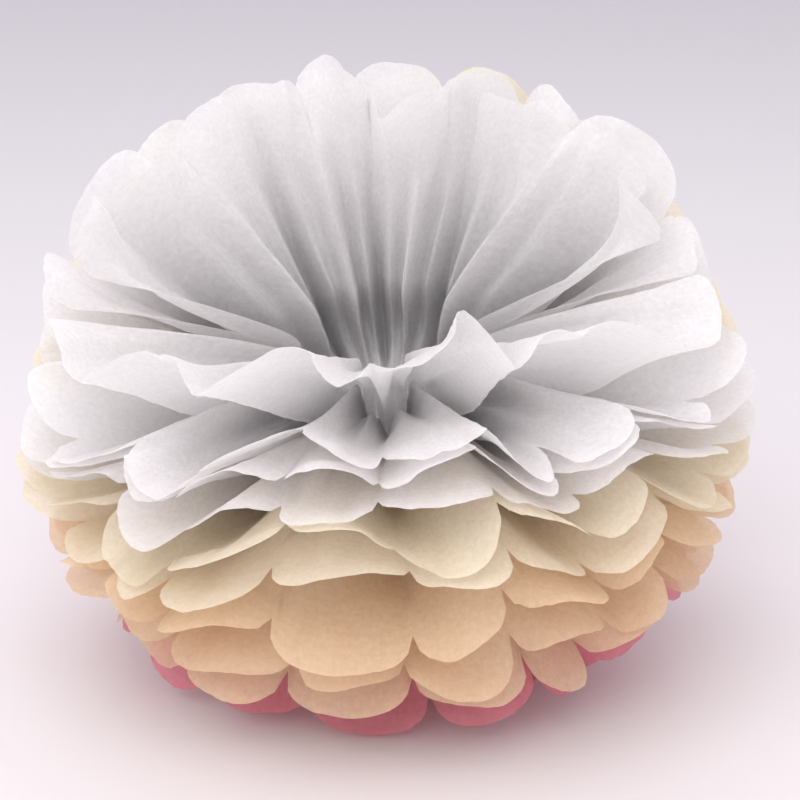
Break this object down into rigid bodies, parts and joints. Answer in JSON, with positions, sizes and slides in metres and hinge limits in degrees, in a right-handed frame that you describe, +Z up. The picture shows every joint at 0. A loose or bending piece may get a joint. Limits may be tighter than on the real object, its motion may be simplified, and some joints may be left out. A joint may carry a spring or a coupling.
{
  "type": "tissue paper pom pom",
  "caption": "Tissue paper pom pom: pleated sheets tied at the waist and fanned into a ball of round-ended petals, white at the opening, then ivory, peach and pink.",
  "frame": {"origin": "on the ground under the middle of the ball, which is the bottom centre of its bounding box", "axes": "+Z up, +X along the waist, -Y the side that the white opening leans towards"},
  "size_m": [0.3034, 0.2828, 0.2649],
  "materials": {
    "white_tissue": "soft, slightly see-through tissue",
    "ivory_tissue": "soft, slightly see-through tissue",
    "peach_tissue": "soft, slightly see-through tissue",
    "pink_tissue": "soft, slightly see-through tissue",
    "waist_wire": "thin bright wire"
  },
  "bodies": {
    "root": {"white_sheet_1": "white_tissue", "white_sheet_2": "white_tissue", "white_sheet_3": "white_tissue", "white_sheet_4": "white_tissue", "ivory_sheet_1": "ivory_tissue", "ivory_sheet_2": "ivory_tissue", "peach_sheet_1": "peach_tissue", "peach_sheet_2": "peach_tissue", "peach_sheet_3": "peach_tissue", "pink_sheet_1": "pink_tissue", "pink_sheet_2": "pink_tissue", "pink_sheet_3": "pink_tissue", "waist_wire": "waist_wire"}
  },
  "joints": []
}
